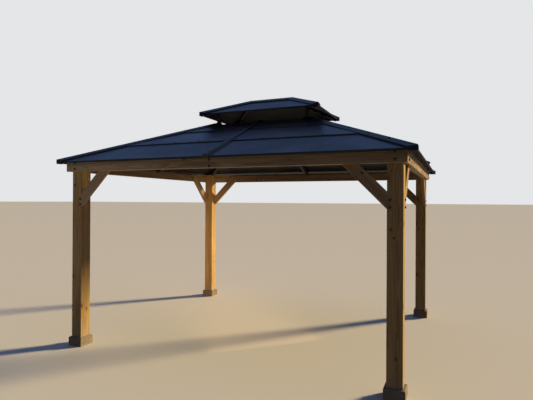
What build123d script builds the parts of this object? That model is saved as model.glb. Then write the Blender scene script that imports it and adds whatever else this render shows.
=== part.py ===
from build123d import *
import os
from math import cos, radians, sin, sqrt, tan

# Timber garden pavilion with a two-tier sheet-metal hip roof and four open sides.
# Millimetres, +Z up, the long front faces -Y, the origin is on the ground in the
# middle of the four posts.
os.makedirs("parts", exist_ok=True)

# Driving dimensions
SPAN_X = 3765.0          # outside to outside of the posts along the front
SPAN_Y = 3175.0          # outside to outside of the posts from front to rear
POST = 140.0             # side of a post
BOARD = 36.0             # thickness of every beam ply, brace and rafter board
BEAM_BOTTOM = 2045.0     # clear height under the beams
BEAM_DEPTH = 133.0       # depth of an outer beam ply
INNER_DEPTH = 110.0      # depth of an inner beam ply
BEAM_OVERRUN = 24.0      # the long outer plies run past the side plies on the left
OUTER_SPLICE_X = 1000.0  # butt joint in the long outer plies
INNER_SPLICE_X = -870.0  # butt joint in the long inner plies
SPLICE_GAP = 2.0         # open joint between two butted boards

TRIM_HEIGHT = 100.0      # skirting box around the foot of a post
TRIM_PROUD = 24.0        # how far that box stands out from the post
TRIM_CHAMFER = 6.0

BRACE_WIDTH = 108.0      # width of a knee brace board
BRACE_DROP = 400.0       # lower edge of the brace below the beam, at the post
BRACE_LET_IN = 42.0      # how far the brace is housed into the post's face
BRACE_TOP_DROP = 5.0     # level top cut of the brace below the inner ply's top

PITCH = 22.5             # degrees, every slope of both roofs
EAVE_REACH = 115.0       # sheet edge beyond the face of the posts
EAVE_DROP = 18.0         # sheets along the eave, below the outer ply's top
SHEET = 2.0             # sheet-metal thickness
DRIP = 22.0              # turned-down drip lip along an eave
SEAM_1 = 500.0           # first seam, measured level from the eave
SEAM_2 = 1000.0          # second seam
LAP = 40.0               # how far a sheet runs on under the one above
STEP = 12.0              # height of the folded nose of an upper sheet
MID_GAP = 8.0            # open joint between the two halves of a slope
HIP_GAP = 4.0            # sheet edge back from the hip line

HIP_RAFTER_DEPTH = 108.0
MID_RAFTER_DEPTH = 86.0
PURLIN_WIDTH = 70.0
PURLIN_DEPTH = 36.0

RING_Y = 380.0           # half width of the timber ring around the roof opening
RING_DEPTH = 120.0

CAP_HALF = 56.0          # half width of a hip or ridge cap
CAP_LIFT = 25.0          # inside height of a cap's crown above the sheets
CAP_EDGE = 12.5          # inside height of a cap along its long edges
CHANNEL_HALF = 33.0      # half width of the channel down the middle of a slope
CHANNEL_CROWN = 20.0     # half width of its flat top
CHANNEL_LIFT = 22.0      # inside height of that channel above the sheets
COVER_OVERHANG = 10.0    # caps and channels stand out past the eave

CUPOLA_Y = 505.0         # half depth of the raised roof at its eave
CUPOLA_RAISE = 195.0     # its sheets above the main sheets plumb below that eave
CUPOLA_RAFTER_DEPTH = 46.0
CUPOLA_TAIL = 60.0       # rafter tail back from the raised roof's eave
RIDGE_DEPTH = 100.0
RIDGE_END = 45.0         # ridge board past the point where the hips meet
STRUT = 42.0             # side of the short posts that carry the raised roof

FIT = 0.3                # clearance where two pieces meet

# Values that follow from the ones above
HALF_X = SPAN_X / 2
HALF_Y = SPAN_Y / 2
BEAM_TOP = BEAM_BOTTOM + BEAM_DEPTH
INNER_TOP = BEAM_BOTTOM + INNER_DEPTH
EAVE_X = HALF_X + EAVE_REACH
EAVE_Y = HALF_Y + EAVE_REACH
EAVE_Z = BEAM_TOP - EAVE_DROP
RIDGE_HALF = EAVE_X - EAVE_Y
RING_X = RING_Y + RIDGE_HALF
CUPOLA_X = CUPOLA_Y + RIDGE_HALF
RISE = tan(radians(PITCH))
SHEET_UPRIGHT = SHEET / cos(radians(PITCH))
RAFTER_DROP = SHEET_UPRIGHT + FIT
RING_T = EAVE_Y - RING_Y
CUPOLA_EAVE_Z = EAVE_Z + RISE * (EAVE_Y - CUPOLA_Y) + CUPOLA_RAISE
CUTTER = 4 * EAVE_Z      # height of a cutting block centred on the ground
HIP_TURN = 45.0          # degrees in plan between a hip and the ridge
ROOT2 = sqrt(2.0)

SLOPES = {"front": 0, "right": 90, "rear": 180, "left": 270}
CORNERS = {"front_left": (), "front_right": (Plane.YZ,),
           "rear_left": (Plane.XZ,), "rear_right": (Plane.YZ, Plane.XZ)}


def save(piece, name):
    """Label one finished piece and write it as a STEP file."""
    piece.label = name
    export_step(piece, f"parts/{name}.step")


def mirrored(piece, planes):
    """Copy of a front-left piece for another corner."""
    for plane in planes:
        piece = piece.mirror(plane)
    return piece


def grouped(pieces):
    """Like pieces that don't touch, in one node."""
    with BuildPart() as group:
        for piece in pieces:
            add(piece)
    return group.part


def reach_of(slope, along_x, along_y):
    """Distance from the centre to a slope's eave or edge."""
    return along_y if slope in ("front", "rear") else along_x


def sheet_top(t, eave_z=EAVE_Z):
    """Height of a roof's sheets at level distance t in from the eave."""
    return eave_z + RISE * t


def trim_under_roof(half_x, half_y, eave_z):
    """Cut the piece in hand to the underside of the sheets on all four slopes."""
    lean = radians(PITCH)
    for slope, angle in SLOPES.items():
        out = radians(angle - 90)
        reach = reach_of(slope, half_x, half_y)
        under = Plane(
            origin=(reach * cos(out), reach * sin(out), eave_z - RAFTER_DROP),
            z_dir=(sin(lean) * cos(out), sin(lean) * sin(out), cos(lean)),
        )
        split(bisect_by=under, keep=Keep.BOTTOM)


# Posts, each housed to take the lower ends of its two knee braces
BRACE_LOW = BEAM_BOTTOM - BRACE_DROP
BRACE_HIGH = BRACE_LOW + BRACE_WIDTH * ROOT2
BRACE_TOP = INNER_TOP - BRACE_TOP_DROP


def brace_outline(clearance=0.0):
    """Brace seen square on, x from the post's inner face and z up.

    The foot is cut plumb inside the housing and level below it, the head level.
    """
    back = BRACE_LET_IN + clearance
    low = BRACE_LOW - clearance
    high = BRACE_HIGH + clearance
    Polyline(
        (-back, low),
        (0, low),
        (BRACE_TOP - low, BRACE_TOP),
        (BRACE_TOP - high, BRACE_TOP),
        (-back, high - back),
        close=True,
    )


FRONT_BRACE_PLANE = Plane(
    origin=(POST - HALF_X, -HALF_Y, 0), x_dir=(1, 0, 0), z_dir=(0, -1, 0)
)
LEFT_BRACE_PLANE = Plane(
    origin=(-HALF_X, POST - HALF_Y, 0), x_dir=(0, 1, 0), z_dir=(1, 0, 0)
)

with BuildPart() as post:
    with BuildSketch(Plane.XY):
        with Locations((POST / 2 - HALF_X, POST / 2 - HALF_Y)):
            Rectangle(POST, POST)
    extrude(amount=BEAM_TOP)
    with BuildSketch(FRONT_BRACE_PLANE):
        with BuildLine():
            brace_outline(FIT)
        make_face()
    extrude(amount=-(BOARD + FIT), mode=Mode.SUBTRACT)
    with BuildSketch(LEFT_BRACE_PLANE):
        with BuildLine():
            brace_outline(FIT)
        make_face()
    extrude(amount=BOARD + FIT, mode=Mode.SUBTRACT)

for corner, planes in CORNERS.items():
    save(mirrored(post.part, planes), f"post_{corner}")

# Skirting box around the foot of each post, its top edge chamfered
with BuildPart() as base_trim:
    with BuildSketch(Plane.XY):
        with Locations((POST / 2 - HALF_X, POST / 2 - HALF_Y)):
            Rectangle(POST + 2 * TRIM_PROUD, POST + 2 * TRIM_PROUD)
            Rectangle(POST + 2 * FIT, POST + 2 * FIT, mode=Mode.SUBTRACT)
    extrude(amount=TRIM_HEIGHT)
    rim = base_trim.faces().sort_by(Axis.Z)[-1].outer_wire().edges()
    chamfer(rim, TRIM_CHAMFER)

for corner, planes in CORNERS.items():
    save(mirrored(base_trim.part, planes), f"base_trim_{corner}")

# Knee braces, two to a post, flush with the post's outer face
with BuildPart() as front_brace:
    with BuildSketch(FRONT_BRACE_PLANE):
        with BuildLine():
            brace_outline()
        make_face()
    extrude(amount=-BOARD)

with BuildPart() as left_brace:
    with BuildSketch(LEFT_BRACE_PLANE):
        with BuildLine():
            brace_outline()
        make_face()
    extrude(amount=BOARD)

for corner, planes in CORNERS.items():
    end, hand = corner.split("_")
    save(mirrored(front_brace.part, planes), f"brace_{end}_beam_{hand}")
    save(mirrored(left_brace.part, planes), f"brace_{hand}_beam_{end}")

# Outer plies of the beams lap the outside of the posts, the long ones in two boards
OUTER_RIGHT_X = HALF_X + BOARD
OUTER_LEFT_X = -OUTER_RIGHT_X - BEAM_OVERRUN

with BuildPart() as front_outer:
    for start, end in (
        (OUTER_LEFT_X, OUTER_SPLICE_X - SPLICE_GAP / 2),
        (OUTER_SPLICE_X + SPLICE_GAP / 2, OUTER_RIGHT_X),
    ):
        with Locations((start, -HALF_Y - BOARD, BEAM_BOTTOM)):
            Box(end - start, BOARD, BEAM_DEPTH, align=(Align.MIN, Align.MIN, Align.MIN))

with BuildPart() as left_outer:
    with Locations((-HALF_X - BOARD, 0, BEAM_BOTTOM)):
        Box(BOARD, 2 * HALF_Y, BEAM_DEPTH, align=(Align.MIN, Align.CENTER, Align.MIN))

# Inner plies fill the plane of the braces, their ends cut to the braces' slope
INNER_HEEL = BEAM_BOTTOM - BRACE_LOW + SPLICE_GAP * ROOT2


def inner_ply_outline(half_clear, left_end, right_end):
    """Inner ply seen square on; an end of None is cut along the brace there."""
    heel = half_clear - INNER_HEEL
    toe = heel - INNER_DEPTH
    Polyline(
        (-heel if left_end is None else left_end, BEAM_BOTTOM),
        (heel if right_end is None else right_end, BEAM_BOTTOM),
        (toe if right_end is None else right_end, INNER_TOP),
        (-toe if left_end is None else left_end, INNER_TOP),
        close=True,
    )


with BuildPart() as front_inner:
    with BuildSketch(Plane(origin=(0, -HALF_Y, 0), x_dir=(1, 0, 0), z_dir=(0, -1, 0))):
        with BuildLine():
            inner_ply_outline(HALF_X - POST, None, INNER_SPLICE_X - SPLICE_GAP / 2)
        make_face()
        with BuildLine():
            inner_ply_outline(HALF_X - POST, INNER_SPLICE_X + SPLICE_GAP / 2, None)
        make_face()
    extrude(amount=-BOARD)

with BuildPart() as left_inner:
    with BuildSketch(Plane(origin=(-HALF_X, 0, 0), x_dir=(0, 1, 0), z_dir=(1, 0, 0))):
        with BuildLine():
            inner_ply_outline(HALF_Y - POST, None, None)
        make_face()
    extrude(amount=BOARD)

for ply, part in (("outer", front_outer.part), ("inner", front_inner.part)):
    save(part, f"front_beam_{ply}_ply")
    save(part.mirror(Plane.XZ), f"rear_beam_{ply}_ply")
for ply, part in (("outer", left_outer.part), ("inner", left_inner.part)):
    save(part, f"left_beam_{ply}_ply")
    save(part.mirror(Plane.YZ), f"right_beam_{ply}_ply")


# Rafters, their tops under the sheets and their feet notched over what carries them
def rafter_outline(start, end, top, depth, seat=None, heel=None):
    """Rafter seen square on: x in from the eave, plumb ends, level seat to the heel."""
    points = [(start, top(start)), (end, top(end)), (end, top(end) - depth)]
    if seat is None:
        points.append((start, top(start) - depth))
    else:
        points.append((heel, top(heel) - depth))
        points.append((heel, seat))
        points.append((start, seat))
    Polyline(*points, close=True)


def hip_plane(half_x, half_y):
    """Upright plane along the front-left hip, x level in from the corner."""
    return Plane(origin=(-half_x, -half_y, 0), x_dir=(1, 1, 0), z_dir=(1, -1, 0))


PLY_T = EAVE_REACH - BOARD           # outer face of the beams, from the eave
POST_INSIDE_T = EAVE_REACH + POST    # inner face of the posts, from the eave

with BuildPart() as hip_rafter:
    with BuildSketch(hip_plane(EAVE_X, EAVE_Y)):
        with BuildLine():
            rafter_outline(
                start=PLY_T * ROOT2 + BOARD / 2,
                end=(RING_T + BOARD) * ROOT2,
                top=lambda d: sheet_top(d / ROOT2),
                depth=HIP_RAFTER_DEPTH,
                seat=BEAM_TOP,
                heel=POST_INSIDE_T * ROOT2 + BOARD / 2 + FIT,
            )
        make_face()
    extrude(amount=BOARD / 2, both=True)
    trim_under_roof(EAVE_X, EAVE_Y, EAVE_Z)
    Box(2 * RING_X, 2 * RING_Y, CUTTER, mode=Mode.SUBTRACT)

for corner, planes in CORNERS.items():
    save(mirrored(hip_rafter.part, planes), f"hip_rafter_{corner}")


def slope_plane(reach):
    """Upright plane through the middle of the front slope, x level in from its eave."""
    return Plane(origin=(0, -reach, 0), x_dir=(0, 1, 0), z_dir=(1, 0, 0))


def mid_rafter(reach):
    """Middle rafter of a slope that faces -Y, its foot on the inner ply."""
    with BuildPart() as rafter:
        with BuildSketch(slope_plane(reach)):
            with BuildLine():
                rafter_outline(
                    start=EAVE_REACH + FIT,
                    end=RING_T,
                    top=lambda t: sheet_top(t) - RAFTER_DROP,
                    depth=MID_RAFTER_DEPTH,
                    seat=INNER_TOP,
                    heel=EAVE_REACH + BOARD + FIT,
                )
            make_face()
        extrude(amount=BOARD / 2, both=True)
    return rafter.part


middles = []
for slope, angle in SLOPES.items():
    middles.append(mid_rafter(reach_of(slope, EAVE_X, EAVE_Y)).rotate(Axis.Z, angle))
save(grouped(middles), "mid_rafters")


# Purlins, one under each seam
def cut_to_hips(half_length, reach, back):
    """Keep what lies between the two hips of a slope that faces -Y, less a margin."""
    for hand in (1, -1):
        hip = Plane(
            origin=(hand * (half_length - back * ROOT2), -reach, 0), z_dir=(hand, 1, 0)
        )
        split(bisect_by=hip, keep=Keep.BOTTOM)


def purlin_set(half_length, reach):
    """Purlins of a slope that faces -Y, from the hip rafters to the middle rafter."""
    with BuildPart() as purlins:
        with BuildSketch(slope_plane(reach)):
            for middle in (SEAM_1, SEAM_2):
                low, high = middle - PURLIN_WIDTH / 2, middle + PURLIN_WIDTH / 2
                with BuildLine():
                    Polyline(
                        (low, sheet_top(low) - RAFTER_DROP),
                        (high, sheet_top(high) - RAFTER_DROP),
                        (high, sheet_top(high) - RAFTER_DROP - PURLIN_DEPTH),
                        (low, sheet_top(low) - RAFTER_DROP - PURLIN_DEPTH),
                        close=True,
                    )
                make_face()
        extrude(amount=half_length, both=True)
        cut_to_hips(half_length, reach, BOARD / 2 + FIT)
        Box(BOARD + 2 * FIT, 2 * reach, CUTTER, mode=Mode.SUBTRACT)
    return purlins.part


long_purlins = purlin_set(EAVE_X, EAVE_Y)
short_purlins = purlin_set(EAVE_Y, EAVE_X)
for pair, purlins in (("front", "rear"), long_purlins), (("right", "left"), short_purlins):
    both = grouped(purlins.rotate(Axis.Z, SLOPES[slope]) for slope in pair)
    save(both, f"purlins_{pair[0]}_and_{pair[1]}")

# Timber ring around the opening at the top of the main roof
RING_TOP = sheet_top(RING_T + BOARD)
RING_BOTTOM = sheet_top(RING_T) - RING_DEPTH

with BuildPart() as ring_long:
    with Locations((0, RING_Y - BOARD / 2, RING_BOTTOM), (0, BOARD / 2 - RING_Y, RING_BOTTOM)):
        Box(2 * RING_X, BOARD, RING_TOP - RING_BOTTOM, align=(Align.CENTER, Align.CENTER, Align.MIN))
    trim_under_roof(EAVE_X, EAVE_Y, EAVE_Z)
save(ring_long.part, "opening_ring_long_boards")

with BuildPart() as ring_short:
    with Locations((RING_X - BOARD / 2, 0, RING_BOTTOM), (BOARD / 2 - RING_X, 0, RING_BOTTOM)):
        Box(BOARD, 2 * (RING_Y - BOARD), RING_TOP - RING_BOTTOM,
            align=(Align.CENTER, Align.CENTER, Align.MIN))
    trim_under_roof(EAVE_X, EAVE_Y, EAVE_Z)
save(ring_short.part, "opening_ring_short_boards")


# Roof sheets: three lapped rows to a slope, each upper row with a folded nose
class Row:
    """One row of sheets, from its lower edge to where it ends under the row above."""

    def __init__(self, low, high, below=None, eave_z=EAVE_Z):
        lift = 0 if below is None else STEP
        self.low = low
        self.high = high
        self.z_low = sheet_top(low, eave_z) + lift
        self.z_high = sheet_top(high, eave_z)
        self.rise = (self.z_high - self.z_low) / (high - low)
        self.lip = DRIP if below is None else self.z_low - below.top(low) - FIT

    def top(self, t):
        return self.z_low + self.rise * (t - self.low)

    def outline(self):
        """Sheet and its turned-down nose or drip lip, x in from the eave."""
        behind = self.low + SHEET
        Polyline(
            (self.low, self.z_low),
            (self.high, self.z_high),
            (self.high, self.z_high - SHEET_UPRIGHT),
            (behind, self.top(behind) - SHEET_UPRIGHT),
            (behind, self.top(behind) - self.lip),
            (self.low, self.z_low - self.lip),
            close=True,
        )


ROW_1 = Row(0, SEAM_1 + LAP)
ROW_2 = Row(SEAM_1, SEAM_2 + LAP, below=ROW_1)
ROW_3 = Row(SEAM_2, RING_T + BOARD, below=ROW_2)
MAIN_ROWS = (ROW_1, ROW_2, ROW_3)
CUPOLA_ROW = Row(0, CUPOLA_Y - HIP_GAP, eave_z=CUPOLA_EAVE_Z)


def sheet_slope(rows, half_length, reach, mid_gap):
    """Sheets of a slope that faces -Y, cut back from its hips and its middle joint."""
    with BuildPart() as sheets:
        with BuildSketch(slope_plane(reach)):
            for row in rows:
                with BuildLine():
                    row.outline()
                make_face()
        extrude(amount=half_length, both=True)
        cut_to_hips(half_length, reach, HIP_GAP)
        if mid_gap > 0:
            Box(mid_gap, 2 * reach, CUTTER, mode=Mode.SUBTRACT)
    return sheets.part


cupola_slopes = []
for slope, angle in SLOPES.items():
    main = sheet_slope(
        MAIN_ROWS, reach_of(slope, EAVE_Y, EAVE_X), reach_of(slope, EAVE_X, EAVE_Y), MID_GAP
    )
    save(main.rotate(Axis.Z, angle), f"roof_sheets_{slope}")
    raised = sheet_slope(
        (CUPOLA_ROW,), reach_of(slope, CUPOLA_Y, CUPOLA_X), reach_of(slope, CUPOLA_X, CUPOLA_Y), 0
    )
    cupola_slopes.append(raised.rotate(Axis.Z, angle))
save(grouped(cupola_slopes), "cupola_roof_sheets")


# Folded caps along the hips and channels down the middle joints, each in one length
def cap_outline(fall):
    """Half of a hip or ridge cap in cross-section, x out from its crown and y up."""
    inside = CAP_HALF - SHEET
    slant = fall + (CAP_LIFT - CAP_EDGE) / inside
    Polyline(
        (0, CAP_LIFT),
        (inside, CAP_LIFT - slant * inside),
        (inside, FIT - fall * inside),
        (CAP_HALF, FIT - fall * CAP_HALF),
        (CAP_HALF, CAP_LIFT + SHEET - slant * CAP_HALF),
        (0, CAP_LIFT + SHEET),
        close=True,
    )


def closed_cap_outline(fall):
    """Half of a cap's closed lower end, down to the foot of the drip lips."""
    slant = fall + (CAP_LIFT - CAP_EDGE) / (CAP_HALF - SHEET)
    Polyline(
        (0, -DRIP),
        (CAP_HALF, -DRIP - fall * CAP_HALF),
        (CAP_HALF, CAP_LIFT + SHEET - slant * CAP_HALF),
        (0, CAP_LIFT + SHEET),
        close=True,
    )


def channel_outline():
    """Half of a channel with leaning sides in cross-section, x from its middle and y up."""
    lean = (CHANNEL_HALF - CHANNEL_CROWN) / (CHANNEL_LIFT + SHEET - FIT)
    wall = SHEET * sqrt(1 + lean ** 2)
    Polyline(
        (0, CHANNEL_LIFT),
        (CHANNEL_CROWN + lean * SHEET - wall, CHANNEL_LIFT),
        (CHANNEL_HALF - wall, FIT),
        (CHANNEL_HALF, FIT),
        (CHANNEL_CROWN, CHANNEL_LIFT + SHEET),
        (0, CHANNEL_LIFT + SHEET),
        close=True,
    )


def closed_channel_outline():
    """Half of a channel's closed lower end, down to the foot of the drip lip."""
    Polyline(
        (0, -DRIP),
        (CHANNEL_HALF, -DRIP),
        (CHANNEL_HALF, FIT),
        (CHANNEL_CROWN, CHANNEL_LIFT + SHEET),
        (0, CHANNEL_LIFT + SHEET),
        close=True,
    )


def raised_rows(half_length, reach):
    """Space of the raised upper rows on a slope that faces -Y, for notching what crosses."""
    with BuildPart() as rows:
        with BuildSketch(slope_plane(reach)):
            for row in MAIN_ROWS[1:]:
                front = row.low - FIT
                with BuildLine():
                    Polyline(
                        (front, sheet_top(front)),
                        (front, row.z_low + FIT),
                        (row.high, row.z_high + FIT),
                        (row.high, sheet_top(row.high)),
                        close=True,
                    )
                make_face()
        extrude(amount=half_length, both=True)
        cut_to_hips(half_length, reach, 0)
    return rows.part


def hip_cap(half_x, half_y, eave_z, end):
    """Cap along the front-left hip, closed at the eave; its end is measured level from there.

    Both ends run parallel to the two eaves.
    """
    start = -COVER_OVERHANG
    run = Vector(1, 1, RISE)
    fall = RISE / sqrt(2 + RISE ** 2)
    spare = CAP_HALF * ROOT2
    low = start - spare
    foot = Plane(
        origin=(low - half_x, low - half_y, sheet_top(low, eave_z)),
        x_dir=(-1, 1, 0), z_dir=run.normalized(),
    )
    length = (end - start + 2 * spare) * run.length
    inner = (Align.MIN, Align.MIN, Align.CENTER)
    with BuildPart() as cap:
        with BuildSketch(foot):
            with BuildLine():
                closed_cap_outline(fall)
            make_face()
            mirror(about=Plane.YZ)
        extrude(amount=length)
        with Locations((start + SHEET - half_x, start + SHEET - half_y, 0)):
            Box(2 * half_x, 2 * half_y, CUTTER, align=inner, mode=Mode.SUBTRACT)
        with BuildSketch(foot):
            with BuildLine():
                cap_outline(fall)
            make_face()
            mirror(about=Plane.YZ)
        extrude(amount=length)
        split(bisect_by=Plane(origin=(start - half_x, 0, 0), z_dir=(1, 0, 0)), keep=Keep.TOP)
        split(bisect_by=Plane(origin=(0, start - half_y, 0), z_dir=(0, 1, 0)), keep=Keep.TOP)
        with Locations((end - half_x, end - half_y, 0)):
            Box(2 * half_x, 2 * half_y, CUTTER, align=inner, mode=Mode.SUBTRACT)
    return cap.part


def mid_channel(half_length, reach):
    """Channel over the middle joint of a slope that faces -Y, closed at the eave."""
    start = -COVER_OVERHANG
    run = Vector(0, 1, RISE)
    foot = Plane(
        origin=(0, start - reach, sheet_top(start)), x_dir=(-1, 0, 0), z_dir=run.normalized()
    )
    with BuildPart() as channel:
        with BuildSketch(foot):
            with BuildLine():
                channel_outline()
            make_face()
            mirror(about=Plane.YZ)
        extrude(amount=(ROW_3.high - start) * run.length)
        with BuildSketch(foot):
            with BuildLine():
                closed_channel_outline()
            make_face()
            mirror(about=Plane.YZ)
        extrude(amount=SHEET)
        add(raised_rows(half_length, reach), mode=Mode.SUBTRACT)
    return channel.part


with BuildPart() as main_hip_cap:
    add(hip_cap(EAVE_X, EAVE_Y, EAVE_Z, ROW_3.high))
    add(raised_rows(EAVE_X, EAVE_Y), mode=Mode.SUBTRACT)
    add(raised_rows(EAVE_Y, EAVE_X).rotate(Axis.Z, SLOPES["left"]), mode=Mode.SUBTRACT)
save(grouped(mirrored(main_hip_cap.part, planes) for planes in CORNERS.values()), "hip_covers")

channels = []
for slope, angle in SLOPES.items():
    channel = mid_channel(reach_of(slope, EAVE_Y, EAVE_X), reach_of(slope, EAVE_X, EAVE_Y))
    channels.append(channel.rotate(Axis.Z, angle))
save(grouped(channels), "mid_slope_covers")

# Raised roof: struts inside the ring's corners, hip rafters and a ridge board
with BuildPart() as strut:
    with Locations((BOARD - RING_X, BOARD - RING_Y, RING_BOTTOM)):
        Box(STRUT, STRUT, CUPOLA_EAVE_Z, align=(Align.MIN, Align.MIN, Align.MIN))
    rafter_seat = Plane(
        origin=(-CUPOLA_X, -CUPOLA_Y, CUPOLA_EAVE_Z - CUPOLA_RAFTER_DEPTH - FIT),
        z_dir=(-RISE, -RISE, 2),
    )
    split(bisect_by=rafter_seat, keep=Keep.BOTTOM)
save(grouped(mirrored(strut.part, planes) for planes in CORNERS.values()), "cupola_struts")

with BuildPart() as cupola_rafter:
    with BuildSketch(hip_plane(CUPOLA_X, CUPOLA_Y)):
        with BuildLine():
            rafter_outline(
                start=CUPOLA_TAIL * ROOT2,
                end=CUPOLA_Y * ROOT2,
                top=lambda d: sheet_top(d / ROOT2, CUPOLA_EAVE_Z),
                depth=CUPOLA_RAFTER_DEPTH,
            )
        make_face()
    extrude(amount=BOARD / 2, both=True)
    trim_under_roof(CUPOLA_X, CUPOLA_Y, CUPOLA_EAVE_Z)
    split(bisect_by=Plane(origin=(0, -BOARD / 2 - FIT, 0), z_dir=(0, 1, 0)), keep=Keep.BOTTOM)
save(grouped(mirrored(cupola_rafter.part, planes) for planes in CORNERS.values()),
     "cupola_hip_rafters")

RIDGE_TOP = sheet_top(CUPOLA_Y, CUPOLA_EAVE_Z)
with BuildPart() as ridge_board:
    with Locations((0, 0, RIDGE_TOP)):
        Box(2 * (RIDGE_HALF + RIDGE_END), BOARD, RIDGE_DEPTH,
            align=(Align.CENTER, Align.CENTER, Align.MAX))
    trim_under_roof(CUPOLA_X, CUPOLA_Y, CUPOLA_EAVE_Z)
save(ridge_board.part, "cupola_ridge_board")


# Caps of the raised roof, mitred where two hips and the ridge meet
def ridge_mitre(hand_x, hand_y, margin):
    """Upright plane that halves the angle between the ridge and one hip."""
    half_turn = radians(HIP_TURN / 2)
    return Plane(
        origin=(hand_x * (RIDGE_HALF - margin), 0, 0),
        z_dir=(-hand_x * cos(half_turn), -hand_y * sin(half_turn), 0),
    )


with BuildPart() as raised_hip_cap:
    add(hip_cap(CUPOLA_X, CUPOLA_Y, CUPOLA_EAVE_Z, CUPOLA_Y + CAP_HALF))
    split(bisect_by=ridge_mitre(-1, -1, -FIT), keep=Keep.BOTTOM)
    split(bisect_by=Plane(origin=(0, -FIT / 2, 0), z_dir=(0, 1, 0)), keep=Keep.BOTTOM)

with BuildPart() as ridge_cap:
    with BuildSketch(Plane(origin=(0, 0, RIDGE_TOP), x_dir=(0, 1, 0), z_dir=(1, 0, 0))):
        with BuildLine():
            cap_outline(RISE)
        make_face()
        mirror(about=Plane.YZ)
    extrude(amount=RIDGE_HALF + CAP_HALF, both=True)
    for hand_x in (1, -1):
        for hand_y in (1, -1):
            split(bisect_by=ridge_mitre(hand_x, hand_y, 0), keep=Keep.TOP)

raised_caps = [mirrored(raised_hip_cap.part, planes) for planes in CORNERS.values()]
save(grouped(raised_caps + [ridge_cap.part]), "cupola_covers")
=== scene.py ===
import math
import random

import bmesh
import bpy
from mathutils import Matrix, Vector
from mathutils.bvhtree import BVHTree


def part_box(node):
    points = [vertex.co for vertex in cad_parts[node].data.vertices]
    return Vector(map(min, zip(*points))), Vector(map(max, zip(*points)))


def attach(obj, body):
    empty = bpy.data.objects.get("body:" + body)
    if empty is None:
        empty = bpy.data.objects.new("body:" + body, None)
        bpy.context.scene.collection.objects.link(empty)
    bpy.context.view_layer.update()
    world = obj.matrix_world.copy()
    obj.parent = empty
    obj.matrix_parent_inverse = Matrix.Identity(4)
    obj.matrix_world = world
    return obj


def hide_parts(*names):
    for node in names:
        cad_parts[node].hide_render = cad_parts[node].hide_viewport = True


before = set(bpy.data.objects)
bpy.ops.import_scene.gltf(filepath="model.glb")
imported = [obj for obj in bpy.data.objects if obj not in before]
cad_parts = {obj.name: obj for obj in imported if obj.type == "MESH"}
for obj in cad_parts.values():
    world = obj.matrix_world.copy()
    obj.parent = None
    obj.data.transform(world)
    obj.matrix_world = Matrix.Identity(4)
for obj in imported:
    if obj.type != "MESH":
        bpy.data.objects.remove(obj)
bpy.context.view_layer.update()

# Posts. Four square posts of stained softwood, each sawn from the heart of its own log,
# planed, with eased arrises, and housed near the top to take two knee braces.
CORNERS = ("front_left", "front_right", "rear_left", "rear_right")
POST_EASE = 0.004
POST_HEART = 0.03            # how far the heart of the log may lie off a post's middle


class Nodes:
    """One node tree being put together; inputs are values or other nodes' sockets."""

    def __init__(self, tree):
        self.tree = tree

    def put(self, kind, inputs=(), **settings):
        made = self.tree.nodes.new(kind)
        for key, value in settings.items():
            setattr(made, key, value)
        pairs = inputs.items() if isinstance(inputs, dict) else enumerate(inputs)
        for key, value in pairs:
            if isinstance(value, bpy.types.NodeSocket):
                self.tree.links.new(value, made.inputs[key])
            else:
                made.inputs[key].default_value = value
        return made

    def maths(self, operation, *values):
        return self.put("ShaderNodeMath", values, operation=operation).outputs[0]

    def vector(self, operation, *values):
        made = self.put("ShaderNodeVectorMath", values, operation=operation)
        return made.outputs["Value" if operation == "LENGTH" else "Vector"]

    def step(self, value, low, high, to_low=0.0, to_high=1.0):
        """Smooth step of a value from low to high."""
        inputs = {"Value": value, "From Min": low, "From Max": high,
                  "To Min": to_low, "To Max": to_high}
        return self.put("ShaderNodeMapRange", inputs,
                        interpolation_type="SMOOTHSTEP").outputs["Result"]

    def noise(self, vector, detail=2.0, roughness=0.5, scale=1.0):
        inputs = {"Vector": vector, "Scale": scale, "Detail": detail, "Roughness": roughness}
        return self.put("ShaderNodeTexNoise", inputs).outputs["Fac"]

    def mix(self, factor, first, second):
        made = self.put("ShaderNodeMix", data_type="RGBA")
        for key, value in (("Factor_Float", factor), ("A_Color", first), ("B_Color", second)):
            socket = next(s for s in made.inputs if s.identifier == key)
            if isinstance(value, bpy.types.NodeSocket):
                self.tree.links.new(value, socket)
            else:
                socket.default_value = value
        return next(s for s in made.outputs if s.identifier == "Result_Color")

    def attribute(self, name, output):
        return self.put("ShaderNodeAttribute", attribute_name=name).outputs[output]

    def spot(self):
        """Place on the object, in metres."""
        return self.put("ShaderNodeTexCoord").outputs["Object"]

    def surface(self, colour, roughness, gloss, height, bump, depth):
        """Principled surface with a bump, joined to the material's output."""
        raised = self.put("ShaderNodeBump", {"Strength": bump, "Distance": depth,
                                             "Height": height})
        shader = self.put("ShaderNodeBsdfPrincipled", {
            "Base Color": colour, "Roughness": roughness, "Specular IOR Level": gloss,
            "Normal": raised.outputs[0]})
        self.put("ShaderNodeOutputMaterial", [shader.outputs[0]])


def shader_group(name, inputs, outputs):
    """New shader node group: the nodes to fill it, and its inputs with their defaults."""
    group = bpy.data.node_groups.new(name, "ShaderNodeTree")
    for label, value in inputs.items():
        kind = "NodeSocketColor" if isinstance(value, tuple) else "NodeSocketFloat"
        made = group.interface.new_socket(label, in_out="INPUT", socket_type=kind)
        made.default_value = value
    for label, kind in outputs.items():
        group.interface.new_socket(label, in_out="OUTPUT", socket_type=kind)
    nodes = Nodes(group)
    return nodes, nodes.put("NodeGroupInput").outputs


def new_material(name):
    """New material with an empty tree, and the nodes to fill it."""
    material = bpy.data.materials.new(name)
    material.use_nodes = True
    material.node_tree.nodes.clear()
    return material, Nodes(material.node_tree)


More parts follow.
